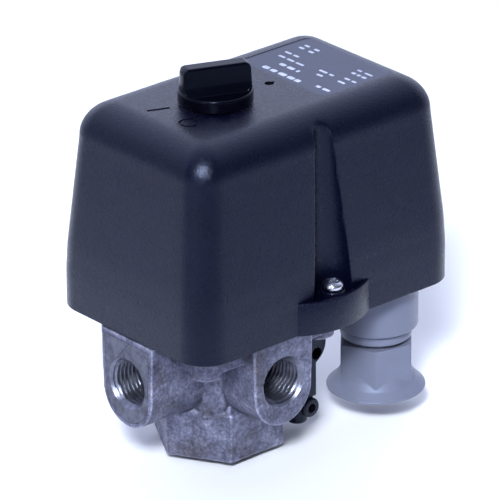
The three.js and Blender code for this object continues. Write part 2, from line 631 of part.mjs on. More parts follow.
function makeSpringPlate() {
  const y = CHEEK_Y - GAP;
  const plate = box(SPRING_X - 6.5, SPRING_X + 6.5, -y, y, PLATE_Z0, PLATE_Z1);
  return plate.add(rod(SPRING_X, 0, 3.6, PLATE_Z0 - 1.6, PLATE_Z0 + 1, 16));
}

function makePin() {
  return rod(0, 0, PIN_R, -15.5, 15.5, 16).rotate([90, 0, 0]).translate([PIVOT_X, 0, PIVOT_Z]);
}

// The bar that the knob's crank pushes towards the contacts; its nose hangs down.
function makeOffSlide() {
  const z0 = BRIDGE_Z + GAP;
  const bar = box(-8, 30, -11, -4, z0, z0 + 1.6);
  const nose = box(26, 30, -11, 8, z0, z0 + 1.6).add(box(26, 30, 4, 8, 61.3, z0 + 1.6));
  const slot = box(-5.1, -1.1, -10, -5.4, z0 - 1, z0 + 3);
  return union(bar, nose).subtract(slot);
}

// ---- Contacts and terminals -----------------------------------------------------------

function makeContactBlock() {
  const inner = [-7, -1];
  const outer = [17, 22.4];
  let block = box(50.8, 52.2, inner[0], outer[1], DECK, 60);
  for (const [y0, y1] of [inner, outer]) {
    block = block.add(box(34, 52.2, y0, y1, DECK, CONTACT_Z - GAP));
    for (const x of [42.4, 49.4]) block = block.add(box(x, x + 1.2, y0, y1, 50, 60));
  }
  for (const x of POLE_X) {
    for (const side of [-1, 1]) {
      block = block.subtract(rod(x, CARRIER_Y + side * TERMINAL_Y, 1.7, 46, 60, 12));
    }
  }
  return block;
}

function makeCarrier() {
  const foot = box(27, 36, 4.5, 11.5, 43.2, 45.4);
  const post = box(35, 50.4, 4.5, 11.5, 43.2, 61);
  let carrier = foot.add(post);
  for (const x of POLE_X) carrier = carrier.subtract(box(x - 2.5, x + 2.5, 3, 13, 46, 58.6));
  return carrier;
}

function makeBridge(x) {
  const bar = box(x - 2, x + 2, CARRIER_Y - 8.6, CARRIER_Y + 8.6, CONTACT_Z - 2, CONTACT_Z - 1);
  const button = (y) => turned(x, y, [[0, CONTACT_Z - 1.2], [1.6, CONTACT_Z - 1.2],
    [1.6, CONTACT_Z - 0.6], [1.2, CONTACT_Z - GAP], [0, CONTACT_Z - GAP]], 14);
  return union(bar, button(CARRIER_Y - 7), button(CARRIER_Y + 7));
}

function makeTerminalPlate(x, side) {
  const y = (v) => CARRIER_Y + side * v;
  const span = (a, b) => [Math.min(y(a), y(b)), Math.max(y(a), y(b))];
  const strip = box(x - 2.4, x + 2.4, ...span(5.6, 14.6), CONTACT_Z, CONTACT_Z + 1);
  return strip.subtract(rod(x, y(TERMINAL_Y), 1.7, CONTACT_Z - 1, CONTACT_Z + 2, 12));
}

function makeEarthPlate() {
  return box(26.5, 34, -20, -13, DECK, DECK + 1).subtract(rod(EARTH_X, EARTH_Y, 1.7, 39, 43, 12));
}

// A slotted pan head screw along -Z, standing on `seat`.
function screw(x, y, headR, headH, shankR, seat, tip, sides = 16) {
  const body = turned(x, y, [[0, tip], [shankR * 0.5, tip], [shankR, tip + shankR * 0.6],
    [shankR, seat], [headR, seat], [headR, seat + headH * 0.55], [headR * 0.72, seat + headH],
    [0, seat + headH]], sides);
  return body.subtract(box(x - headR - 1, x + headR + 1, y - 0.4, y + 0.4,
    seat + headH * 0.55, seat + headH + 1));
}

// A cross-recess pan head screw.
function crossScrew(x, y, headR, headH, shankR, seat, tip) {
  const body = turned(x, y, [[0, tip], [shankR * 0.5, tip], [shankR, tip + shankR],
    [shankR, seat], [headR, seat], [headR, seat + headH * 0.5], [headR * 0.75, seat + headH * 0.9],
    [0, seat + headH]], 20);
  const arms = [0, 90].map((a) => box(-headR * 0.55, headR * 0.55, -0.35, 0.35,
    seat + headH * 0.4, seat + headH + 1).rotate([0, 0, a]).translate([x, y, 0]));
  return body.subtract(arms[0]).subtract(arms[1]);
}

function makeCoverScrew(y) {
  return crossScrew(SCREW_X, y, 2.8, 2.3, 1.5, COVER_SCREW_SEAT, 39.7);
}

// ---- Assembly -------------------------------------------------------------------------

const part = new THREE.Group();
part.name = 'pressure_switch';

const coverGroup = new THREE.Group();
coverGroup.add(
  mesh('cover', makeCover(), M.cover),
  mesh('rotary_knob', makeKnob(), M.knob),
  mesh('cover_screw_front', makeCoverScrew(-SCREW_Y), M.zinc),
  mesh('cover_screw_rear', makeCoverScrew(SCREW_Y), M.zinc),
);

const outside = new THREE.Group();
outside.add(
  mesh('port_flange', makeFlange(), M.cast),
  mesh('diaphragm', makeDiaphragm(), M.rubber),
  mesh('gland_body', makeGlandBody(), M.gland),
  mesh('gland_nut', makeGlandNut(), M.gland),
  mesh('gland_seal', makeGlandSeal(), M.rubber),
  mesh('valve_body', makeValveBody(), M.valve),
  mesh('valve_screw', makeValveScrew(), M.zinc),
  mesh('valve_tappet', makeTappet(), M.steel),
  mesh('valve_spring', coil(VALVE_X, VALVE_Y, 1.45, 0.25, 17.3, 24.7, 5, 8), M.steel),
);

const mechanism = new THREE.Group();
mechanism.position.z = LIFT;
mechanism.add(
  mesh('base_plate', makeBasePlate(), M.base),
  mesh('frame_bracket', makeBracket(), M.steel),
  mesh('rocker_pin', makePin(), M.zinc),
  mesh('pressure_plate', makePressurePlate(), M.steel),
  mesh('rocker', makeRocker(), M.zinc),
  mesh('adjusting_screw', makeAdjustingScrew(), M.zinc),
  mesh('spring_plate', makeSpringPlate(), M.steel),
  mesh('main_spring', coil(SPRING_X, 0, SPRING_R, 0.8, 48.5, PLATE_Z0 - GAP, 6, 12), M.steel),
  mesh('off_slide', makeOffSlide(), M.base),
  mesh('contact_block', makeContactBlock(), M.cream),
  mesh('contact_carrier', makeCarrier(), M.base),
  mesh('earth_plate', makeEarthPlate(), M.zinc),
  mesh('earth_screw', screw(EARTH_X, EARTH_Y, 2.9, 2.2, 1.4, DECK + 1 + GAP, DECK + 0.1), M.zinc),
);

FLANGE_BOLTS.forEach(([x, y], i) => {
  mechanism.add(mesh(`flange_screw_${i + 1}`, screw(x, y, 3.3, 2.4, 1.7, DECK, 31.4), M.zinc));
});

let terminalNumber = 1;
POLE_X.forEach((x, i) => {
  mechanism.add(
    mesh(`contact_bridge_${i + 1}`, makeBridge(x), M.copper),
    mesh(`contact_spring_${i + 1}`,
      coil(x, CARRIER_Y, 1.6, 0.3, 46.3, CONTACT_Z - 2 - GAP, 4, 8), M.steel),
  );
  for (const side of [-1, 1]) {
    const y = CARRIER_Y + side * TERMINAL_Y;
    mechanism.add(
      mesh(`terminal_plate_${terminalNumber}`, makeTerminalPlate(x, side), M.brass),
      mesh(`terminal_screw_${terminalNumber}`,
        screw(x, y, 2.4, 2.2, 1.3, CONTACT_Z + 1 + GAP, 47.5, 14), M.zinc),
    );
    terminalNumber += 1;
  }
});

part.add(outside, mechanism, coverGroup);

export default part;
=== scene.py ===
import math

import bpy
import numpy as np
from mathutils import Matrix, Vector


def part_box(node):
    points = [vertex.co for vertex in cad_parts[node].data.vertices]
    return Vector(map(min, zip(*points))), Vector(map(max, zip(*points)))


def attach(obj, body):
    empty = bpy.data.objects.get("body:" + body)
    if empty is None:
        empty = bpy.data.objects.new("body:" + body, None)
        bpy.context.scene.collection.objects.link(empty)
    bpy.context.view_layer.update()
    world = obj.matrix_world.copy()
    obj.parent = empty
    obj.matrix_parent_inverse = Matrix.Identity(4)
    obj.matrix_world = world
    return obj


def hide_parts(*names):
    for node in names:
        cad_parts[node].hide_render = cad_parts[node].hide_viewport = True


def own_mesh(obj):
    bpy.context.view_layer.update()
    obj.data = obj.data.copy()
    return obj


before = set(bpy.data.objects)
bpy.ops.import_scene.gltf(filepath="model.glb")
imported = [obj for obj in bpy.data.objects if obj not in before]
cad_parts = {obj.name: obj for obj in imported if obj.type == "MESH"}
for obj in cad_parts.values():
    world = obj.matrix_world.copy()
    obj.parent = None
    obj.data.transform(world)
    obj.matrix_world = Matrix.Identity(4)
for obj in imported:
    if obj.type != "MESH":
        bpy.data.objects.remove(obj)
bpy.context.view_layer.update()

# The looks of the pressure switch. Shapes are modelled in millimetres in the shared frame and
# scaled to metres when a piece is placed. Heights and places come from the CAD nodes' boxes.

MM = 0.001
GAP = 0.3


def node_box(node):
    """Lowest and highest corner of a CAD node, in millimetres."""
    low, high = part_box(node)
    return [v / MM for v in low], [v / MM for v in high]


COVER_LOW, COVER_HIGH = node_box("cover")
FLANGE_LOW, FLANGE_HIGH = node_box("port_flange")
KNOB_LOW, KNOB_HIGH = node_box("rotary_knob")
GLAND_LOW, GLAND_HIGH = node_box("gland_body")
NUT_LOW, NUT_HIGH = node_box("gland_nut")
SCREW_LOW, SCREW_HIGH = node_box("cover_screw_front")
VALVE_LOW, VALVE_HIGH = node_box("valve_body")

# Cover
COVER_Z, COVER_TOP = COVER_LOW[2], COVER_HIGH[2]
COVER_X0, COVER_X1 = COVER_LOW[0], COVER_HIGH[0]
TAB_Y = COVER_HIGH[1]
COVER_Y = 29.9
CORNER_LOW, CORNER_HIGH = 8.7, 7.1
WALL_BEND_Z = 52.5
DRAFT_LOW, DRAFT_HIGH = 0.15, 3.2
TOP_FILLET = 9.5
WALL = 2.2
SCREW_X = (SCREW_LOW[0] + SCREW_HIGH[0]) / 2
SCREW_Y = -(SCREW_LOW[1] + SCREW_HIGH[1]) / 2
TAB_HALF, TAB_R = 12.55, 22.5
TAB_TOP, TAB_FLOOR = 47.5, 45.3
LIP = 1.3
SCREW_HEAD = 2.3
SEAT_R = 3.3
GROOVE_X = SCREW_X - 0.1
GROOVE_R0, GROOVE_R1, GROOVE_BACK = 6.75, 2.5, 23.8
MARK_DEPTH, LABEL_DEPTH = 0.4, 0.12
MARK_RADIUS, BAR_ANGLE, RING_ANGLE = 15.6, 158, 203
KEY_X, KEY_Y = 18.4, -0.1

# Knob
KNOB_R = 9.9
KNOB_ANGLE = 157.5
CRANK_ANGLE = -112.5

# Port block
HEX_R, HEX_TOP, CORE_Z = 18.2, 13.5, 17.0
ARM_W, ARM_CZ = 19.6, 22.2
ARM_X, ARM_Y = -FLANGE_LOW[0], FLANGE_HIGH[1]
PORT_Z, PORT_MINOR, PORT_MAJOR, PORT_PITCH = 24.8, 5.75, 6.55, 1.337
PORT_CHAMFER, PORT_DEPTH = 7.15, 12.0
INLET_MINOR, INLET_MAJOR, INLET_PITCH, INLET_DEPTH = 9.3, 10.3, 1.814, 14.0
FLANGE_TOP = FLANGE_HIGH[2]
BOLT_X, BOLT_Y = 19.4, 18.0

# Cable gland and valve
GLAND_X = (GLAND_LOW[0] + GLAND_HIGH[0]) / 2
GLAND_Y = (GLAND_LOW[1] + GLAND_HIGH[1]) / 2
GLAND_BORE = 5.4
VALVE_X, VALVE_Y, VALVE_FRONT = 20.7, -8.0, -12.0
NOZZLE_X, NOZZLE_Z = 21.6, 5.3


# ---- Mesh helpers ---------------------------------------------------------------------

def solid(verts, faces):
    mesh = bpy.data.meshes.new("solid")
    mesh.from_pydata([tuple(map(float, v)) for v in verts], [], [tuple(f) for f in faces])
    mesh.validate()
    obj = bpy.data.objects.new("solid", mesh)
    bpy.context.scene.collection.objects.link(obj)
    return obj


def moved(obj, x=0.0, y=0.0, z=0.0):
    obj.data.transform(Matrix.Translation((x, y, z)))
    return obj


def turned(obj, degrees, axis="Z"):
    obj.data.transform(Matrix.Rotation(math.radians(degrees), 4, axis))
    return obj


def mirrored(obj):
    """A copy on the other side of the middle plane, y = 0."""
    twin = obj.copy()
    twin.data = obj.data.copy()
    bpy.context.scene.collection.objects.link(twin)
    twin.data.transform(Matrix.Scale(-1, 4, (0, 1, 0)))
    twin.data.flip_normals()
    return twin


def loft(rings):
    """Closed solid through rings of equal length, each an (n, 3) array, counter-clockwise."""
    n = len(rings[0])
    verts = np.concatenate(rings)
    faces = []
    for k in range(len(rings) - 1):
        for i in range(n):
            j = (i + 1) % n
            faces.append((k * n + i, k * n + j, (k + 1) * n + j, (k + 1) * n + i))
    last = (len(rings) - 1) * n
    faces.append(tuple(range(n - 1, -1, -1)))
    faces.append(tuple(range(last, last + n)))
    return solid(verts, faces)


def flat_ring(points, z):
    return np.array([(x, y, z) for x, y in points], float)


def prism(points, z0, z1):
    return loft([flat_ring(points, z0), flat_ring(points, z1)])


def block(x0, x1, y0, y1, z0, z1):
    return prism([(x0, y0), (x1, y0), (x1, y1), (x0, y1)], z0, z1)


def circle(r, n=48, start=0.0):
    angles = [math.radians(start) + 2 * math.pi * i / n for i in range(n)]
    return [(r * math.cos(a), r * math.sin(a)) for a in angles]


def revolved(profile, n=64):
    """Solid of revolution about Z; the (radius, z) profile starts and ends on the axis."""
    inner = profile[1:-1]
    verts = [(0, 0, profile[0][1])]
    for r, z in inner:
        verts += [(x, y, z) for x, y in circle(r, n)]
    verts.append((0, 0, profile[-1][1]))
    faces = []
    for i in range(n):
        j = (i + 1) % n
        faces.append((0, 1 + j, 1 + i))
        for k in range(len(inner) - 1):
            a, b = 1 + k * n, 1 + (k + 1) * n
            faces.append((a + i, a + j, b + j, b + i))
        top = 1 + (len(inner) - 1) * n
        faces.append((top + i, top + j, len(verts) - 1))
    return solid(verts, faces)


def tube(profile, n=64):
    """Ring of revolution about Z; the profile is a closed loop of (radius, z) pairs."""
    m = len(profile)
    verts = [(r * math.cos(2 * math.pi * i / n), r * math.sin(2 * math.pi * i / n), z)
             for i in range(n) for r, z in profile]
    faces = []
    for i in range(n):
        j = (i + 1) % n
        for k in range(m):
            p = (k + 1) % m
            faces.append((i * m + k, j * m + k, j * m + p, i * m + p))
    return solid(verts, faces)


def discard(obj):
    mesh = obj.data
    bpy.data.objects.remove(obj)
    bpy.data.meshes.remove(mesh)


def applied(obj):
    """The object with its modifiers made part of its mesh."""
    depsgraph = bpy.context.evaluated_depsgraph_get()
    mesh = bpy.data.meshes.new_from_object(obj.evaluated_get(depsgraph))
    obj.modifiers.clear()
    old = obj.data
    obj.data = mesh
    bpy.data.meshes.remove(old)
    return obj


def combine(obj, operation, *others):
    for other in others:
        modifier = obj.modifiers.new("bool", "BOOLEAN")
        modifier.operation = operation
        modifier.solver = "MANIFOLD"
        modifier.object = other
        applied(obj)
        discard(other)
    return obj


def join(obj, *others):
    return combine(obj, "UNION", *others)


def cut(obj, *others):
    return combine(obj, "DIFFERENCE", *others)


def softened(obj, voxel, rounds):
    """Moulded or cast look: one even skin whose edges and inner corners are rounded off."""
    remesh = obj.modifiers.new("remesh", "REMESH")
    remesh.mode = "VOXEL"
    remesh.voxel_size = voxel
    smooth = obj.modifiers.new("smooth", "SMOOTH")
    smooth.factor = 0.5
    smooth.iterations = rounds
    return applied(obj)


def bevelled(obj, width, segments=2, angle=30.0):
    bevel = obj.modifiers.new("bevel", "BEVEL")
    bevel.width = width
    bevel.segments = segments
    bevel.limit_method = "ANGLE"
    bevel.angle_limit = math.radians(angle)
    return applied(obj)


def mark_bends(obj):
    """Store how far the skin bends at each vertex: 0.5 is flat, more is an edge, less a hollow."""
    mesh = obj.data
    count = len(mesh.vertices)
    at = np.empty(count * 3)
    out = np.empty(count * 3)
    pairs = np.empty(len(mesh.edges) * 2, dtype=np.int32)
    mesh.vertices.foreach_get("co", at)
    mesh.vertices.foreach_get("normal", out)
    mesh.edges.foreach_get("vertices", pairs)
    at, out = at.reshape(-1, 3), out.reshape(-1, 3)
    a, b = pairs.reshape(-1, 2).T
    step = at[b] - at[a]
    step /= np.maximum(np.linalg.norm(step, axis=1), 1e-9)[:, None]
    degree = np.maximum(np.bincount(pairs, minlength=count), 1)
    bend = (np.bincount(b, (out[b] * step).sum(1), count)
            - np.bincount(a, (out[a] * step).sum(1), count)) / degree
    for _ in range(3):
        near = np.bincount(a, bend[b], count) + np.bincount(b, bend[a], count)
        bend = (bend + near / degree) / 2
    marks = mesh.attributes.new("bend", "FLOAT", "POINT")
    marks.data.foreach_set("value", (0.5 + bend / math.pi).astype(np.float32))


def place(obj, name, body, material, stands_for=(), crease=32.0):
    """Scale a finished piece to metres, name it, tie it to its body and hide the CAD nodes it
    stands for.
    """
    obj.name = name
    obj.data.name = name
    obj.data.transform(Matrix.Scale(MM, 4))
    for polygon in obj.data.polygons:
        polygon.use_smooth = True
    obj.data.set_sharp_from_angle(angle=math.radians(crease))
    obj.data.materials.clear()
    obj.data.materials.append(material)
    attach(obj, body)
    if stands_for:
        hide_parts(*stands_for)
    return obj


def repaint(obj, material, chosen):
    """Give a second material to the faces whose centre, in millimetres, passes the test."""
    obj.data.materials.append(material)
    index = len(obj.data.materials) - 1
    count = len(obj.data.polygons)
    centres = np.empty(count * 3)
    obj.data.polygons.foreach_get("center", centres)
    picks = chosen(centres.reshape(-1, 3) / MM)
    indices = np.empty(count, dtype=np.int32)
    obj.data.polygons.foreach_get("material_index", indices)
    indices[picks] = index
    obj.data.polygons.foreach_set("material_index", indices)


# ---- Materials ------------------------------------------------------------------------

class Recipe:
    """A small helper that builds one node material in object coordinates."""

    def __init__(self, name, **constants):
        self.material = bpy.data.materials.new(name)
        self.material.use_nodes = True
        self.nodes = self.material.node_tree.nodes
        self.links = self.material.node_tree.links
        self.shader = self.nodes["Principled BSDF"]
        self.coords = self.nodes.new("ShaderNodeTexCoord").outputs["Object"]
        for socket, value in constants.items():
            self.shader.inputs[socket.replace("_", " ")].default_value = value

    def noise(self, size_mm, detail=3.0, roughness=0.55):
        node = self.nodes.new("ShaderNodeTexNoise")
        node.inputs["Scale"].default_value = 1.0 / (size_mm * MM)
        node.inputs["Detail"].default_value = detail
        node.inputs["Roughness"].default_value = roughness
        self.links.new(self.coords, node.inputs["Vector"])
        return node.outputs["Fac"]

    def ramp(self, source, stops):
        node = self.nodes.new("ShaderNodeValToRGB")
        ramp = node.color_ramp
        while len(ramp.elements) < len(stops):
            ramp.elements.new(0.5)
        for element, (position, color) in zip(ramp.elements, stops):
            element.position = position
            element.color = (*color, 1.0) if len(color) == 3 else color
        self.links.new(source, node.inputs["Fac"])
        return node.outputs["Color"]

    def spread(self, source, low, high):
        node = self.nodes.new("ShaderNodeMapRange")
        node.inputs["From Min"].default_value = 0.3
        node.inputs["From Max"].default_value = 0.7
        node.inputs["To Min"].default_value = low
        node.inputs["To Max"].default_value = high
        self.links.new(source, node.inputs["Value"])
        return node.outputs["Result"]

    def bend(self):
        node = self.nodes.new("ShaderNodeAttribute")
        node.attribute_name = "bend"
        return node.outputs["Fac"]

    def tinted(self, color, tint):
        node = self.nodes.new("ShaderNodeMix")
        node.data_type = "RGBA"
        node.blend_type = "MULTIPLY"
        node.clamp_result = False
        node.inputs["Factor"].default_value = 1.0
        self.links.new(color, node.inputs["A"])
        self.links.new(tint, node.inputs["B"])
        return node.outputs["Result"]

    def bump(self, source, depth_mm, strength=1.0):
        node = self.nodes.new("ShaderNodeBump")
        node.inputs["Distance"].default_value = depth_mm * MM
        node.inputs["Strength"].default_value = strength
        self.links.new(source, node.inputs["Height"])
        previous = self.shader.inputs["Normal"].links
        if previous:
            self.links.new(previous[0].from_socket, node.inputs["Normal"])
        self.links.new(node.outputs["Normal"], self.shader.inputs["Normal"])

    def color(self, source):
        self.links.new(source, self.shader.inputs["Base Color"])

    def roughness(self, source):
        self.links.new(source, self.shader.inputs["Roughness"])


def moulded(name, dark, light, rough, grain_mm, grain_depth, mottle_mm=9.0, gloss=0.5):
    r = Recipe(name, Metallic=0.0, Specular_IOR_Level=gloss, Specular_Tint=(0.62, 0.72, 1.0, 1.0))
    r.color(r.ramp(r.noise(mottle_mm, 4), [(0.35, dark), (0.65, light)]))
    r.roughness(r.spread(r.noise(grain_mm * 2.5, 2), *rough))
    r.bump(r.noise(grain_mm, 1.5), grain_depth)
    return r.material


def metal(name, dark, light, rough, mottle_mm, grain_mm, grain_depth, metallic=1.0):
    r = Recipe(name, Metallic=metallic)
    r.color(r.ramp(r.noise(mottle_mm, 5), [(0.35, dark), (0.65, light)]))
    r.roughness(r.spread(r.noise(mottle_mm * 0.6, 4), *rough))
    r.bump(r.noise(grain_mm, 3), grain_depth)
    return r.material


def cast_metal():
    r = Recipe("cast_alloy", Metallic=0.70)
    skin = r.ramp(r.noise(6.0, 12, 0.72), [
        (0.33, (0.070, 0.073, 0.112)), (0.50, (0.132, 0.137, 0.203)),
        (0.68, (0.230, 0.237, 0.330))])
    speckle = r.ramp(r.noise(0.9, 6, 0.75), [
        (0.36, (0.60, 0.60, 0.62)), (0.50, (1.0, 1.0, 1.0)), (0.64, (1.55, 1.55, 1.52))])
    stain = r.ramp(r.noise(11.0, 5, 0.6), [
        (0.36, (0.80, 0.74, 0.66)), (0.48, (1.0, 1.0, 1.0)), (0.70, (1.12, 1.12, 1.10))])
    # Painted shade darkens the hollows, and a painted highlight that is partly edge wear brightens
    # the edges, both read from the bend attribute.
    edge = r.ramp(r.bend(), [(0.475, (0.38, 0.38, 0.41)), (0.497, (1.0, 1.0, 1.0)),
                             (0.510, (1.0, 1.0, 1.0)), (0.540, (2.1, 2.1, 2.0))])
    r.color(r.tinted(r.tinted(r.tinted(skin, speckle), stain), edge))
    r.roughness(r.spread(r.noise(1.6, 5), 0.42, 0.62))
    r.bump(r.noise(0.45, 4, 0.7), 0.045)
    r.bump(r.noise(4.5, 2), 0.12)
    return r.material


COVER_BLACK = moulded("cover_plastic", (0.0008, 0.0011, 0.0068), (0.0013, 0.0017, 0.0092),
                      (0.25, 0.34), 0.36, 0.105, gloss=0.38)
LABEL_BLACK = moulded("label_plastic", (0.018, 0.021, 0.044), (0.022, 0.026, 0.052),
                      (0.30, 0.38), 0.25, 0.006, gloss=0.42)
KNOB_BLACK = moulded("knob_plastic", (0.0006, 0.0008, 0.0026), (0.0010, 0.0013, 0.0038),
                     (0.15, 0.24), 1.2, 0.004, gloss=0.16)
VALVE_BLACK = moulded("valve_plastic", (0.0060, 0.0065, 0.0130), (0.0100, 0.0105, 0.0190),
                      (0.26, 0.42), 0.5, 0.010, gloss=0.35)
BASE_BLACK = moulded("base_plastic", (0.020, 0.020, 0.026), (0.028, 0.028, 0.035),
                     (0.45, 0.6), 0.5, 0.02)
GLAND_GREY = moulded("gland_plastic", (0.134, 0.145, 0.200), (0.152, 0.164, 0.225),
                     (0.34, 0.46), 0.4, 0.010, 14.0)
CREAM = moulded("cream_plastic", (0.52, 0.47, 0.36), (0.60, 0.55, 0.43), (0.4, 0.55), 0.5, 0.012)
RUBBER = moulded("rubber", (0.010, 0.010, 0.012), (0.018, 0.018, 0.020), (0.6, 0.8), 0.4, 0.02)
PRINT_WHITE = moulded("print_white", (0.38, 0.41, 0.51), (0.48, 0.51, 0.63), (0.5, 0.6), 0.3, 0.004)
INK_BLACK = moulded("ink_black", (0.002, 0.002, 0.004), (0.004, 0.004, 0.007), (0.4, 0.55), 0.4,
                    0.01, gloss=0.1)
CAST = cast_metal()
# Machined metal of the port and inlet bores, coloured darker than the casting as painted shade
# inside the holes.
SHADED_BORE = metal("machined_bore_painted_shade", (0.085, 0.088, 0.115), (0.15, 0.155, 0.20),
             (0.34, 0.46), 2.0, 0.25, 0.008)
CHAMFER = metal("machined_chamfer", (0.17, 0.18, 0.24), (0.27, 0.28, 0.36),
                (0.30, 0.42), 2.0, 0.3, 0.006)
ZINC = metal("bright_zinc", (0.50, 0.52, 0.60), (0.70, 0.72, 0.80), (0.16, 0.28), 3.0, 0.6, 0.008)
STEEL = metal("sheet_steel", (0.34, 0.35, 0.38), (0.46, 0.47, 0.50), (0.26, 0.40), 5.0, 0.5, 0.012)
BRASS = metal("brass", (0.50, 0.34, 0.12), (0.64, 0.46, 0.18), (0.20, 0.34), 3.0, 0.5, 0.008)
COPPER = metal("copper", (0.48, 0.22, 0.11), (0.62, 0.30, 0.16), (0.22, 0.36), 3.0, 0.5, 0.008)


# ---- Cover ----------------------------------------------------------------------------

FILLET_Z = COVER_TOP - TOP_FILLET


def wall_lean(z):
    """How far the wall leans inwards at a height, with a soft bend."""
    if z < WALL_BEND_Z:
        lean = DRAFT_LOW * (z - COVER_Z) / (WALL_BEND_Z - COVER_Z)
    else:
        lean = DRAFT_LOW + DRAFT_HIGH * (z - WALL_BEND_Z) / (FILLET_Z - WALL_BEND_Z)
    distance = abs(z - WALL_BEND_Z)
    blend = 5.0
    if distance < blend:
        lean += 0.18 * (1 - distance / blend) ** 2
    return lean


def groove_y(x, z, grow):
    """Depth line of the tapered screw groove: y of its surface on the -Y side."""
    share = (z - TAB_FLOOR) / (COVER_TOP - TAB_FLOOR)
    r = GROOVE_R0 + (GROOVE_R1 - GROOVE_R0) * share
    centre = -GROOVE_BACK - r
    r += grow
    off = abs(x - GROOVE_X)
    if off >= r:
        return centre - 4 * (off - r)
    return centre + math.sqrt(r * r - off * off)


def cover_ring(z, inset, corner, grow, grooved):
    """The cover's outline at height z, counter-clockwise from the left end of the -Y side."""
    x0, x1 = COVER_X0 + inset, COVER_X1 - inset
    y0 = -COVER_Y + inset
    share = max(0.0, (z - TAB_FLOOR) / (COVER_TOP - TAB_FLOOR))
    r = GROOVE_R0 + (GROOVE_R1 - GROOVE_R0) * share + grow
    left = np.linspace(x0 + corner, GROOVE_X - r - 1.5, 12)
    middle = GROOVE_X + (r + 0.6) * np.sin(np.radians(np.linspace(-90, 90, 61)))
    right = np.linspace(GROOVE_X + r + 1.5, x1 - corner, 14)
    side = []
    soft = 0.55
    for x in np.concatenate([left, middle, right]):
        y = y0
        if grooved:
            g = groove_y(x, z, grow)
            y = 0.5 * (y0 + g + math.sqrt((y0 - g) ** 2 + soft * soft))
        side.append((x, y))
    quarter = [math.radians(a) for a in np.linspace(-90, 0, 15)[1:-1]]
    right_corner = [(x1 - corner + corner * math.cos(a), y0 + corner + corner * math.sin(a))
                    for a in quarter]
    end = [(x1, y) for y in np.linspace(y0 + corner, -y0 - corner, 12)]
    half = side + right_corner + end
    back = [(x, -y) for x, y in reversed(side)]
    left_end = [(x0, y) for y in np.linspace(-y0 - corner, y0 + corner, 12)]
    far_corner = [(x, -y) for x, y in reversed(right_corner)]
    left_corner = [(x0 + corner - corner * math.cos(a), y0 + corner + corner * math.sin(a))
                   for a in reversed(quarter)]
    left_far = [(x, -y) for x, y in reversed(left_corner)]
    return flat_ring(half + far_corner + back + left_far + left_end + left_corner, z)


def cover_body(inner):
    """The cover's outside (inner = 0) or its hollow (inner = wall thickness)."""
    bottom = COVER_Z - (1.0 if inner else 0.0)
    floor = TAB_FLOOR - (1.8 if inner else 0.0)
    grow = inner - 0.4 if inner else 0.0
    rings = []

    def add(z, inset, grooved):
        share = (z - COVER_Z) / (COVER_TOP - COVER_Z)
        corner = CORNER_LOW + (CORNER_HIGH - CORNER_LOW) * share
        corner -= 0.6 * (inset - wall_lean(min(z, FILLET_Z)))
        rings.append(cover_ring(z, inset, max(corner, 0.4), grow, grooved))

    if inner:
        add(bottom, inner, False)
    else:
        add(bottom, 0.25, False)
        add(bottom + 0.25, 0.05, False)
    add(floor - 0.02, wall_lean(floor) + inner, False)
    heights = [floor] + list(np.linspace(floor + 0.8, WALL_BEND_Z + 6, 9))
    heights += list(np.linspace(WALL_BEND_Z + 9, FILLET_Z - inner, 9))
    for z in heights:
        add(z, wall_lean(z) + inner, True)
    base_lean = wall_lean(FILLET_Z)
    for a in np.radians(np.linspace(0, 90, 19))[1:]:
        add(FILLET_Z - inner + TOP_FILLET * math.sin(a),
            base_lean + inner + TOP_FILLET * (1 - math.cos(a)), True)
    return loft(rings)


def tab_plan(reach, half, back):
    spread = math.asin(half / TAB_R)
    arc = [(SCREW_X + TAB_R * math.cos(a), TAB_R - reach + TAB_R * math.sin(a))
           for a in np.linspace(-math.pi / 2 - spread, -math.pi / 2 + spread, 33)]
    return arc + [(SCREW_X + half, back), (SCREW_X - half, back)]


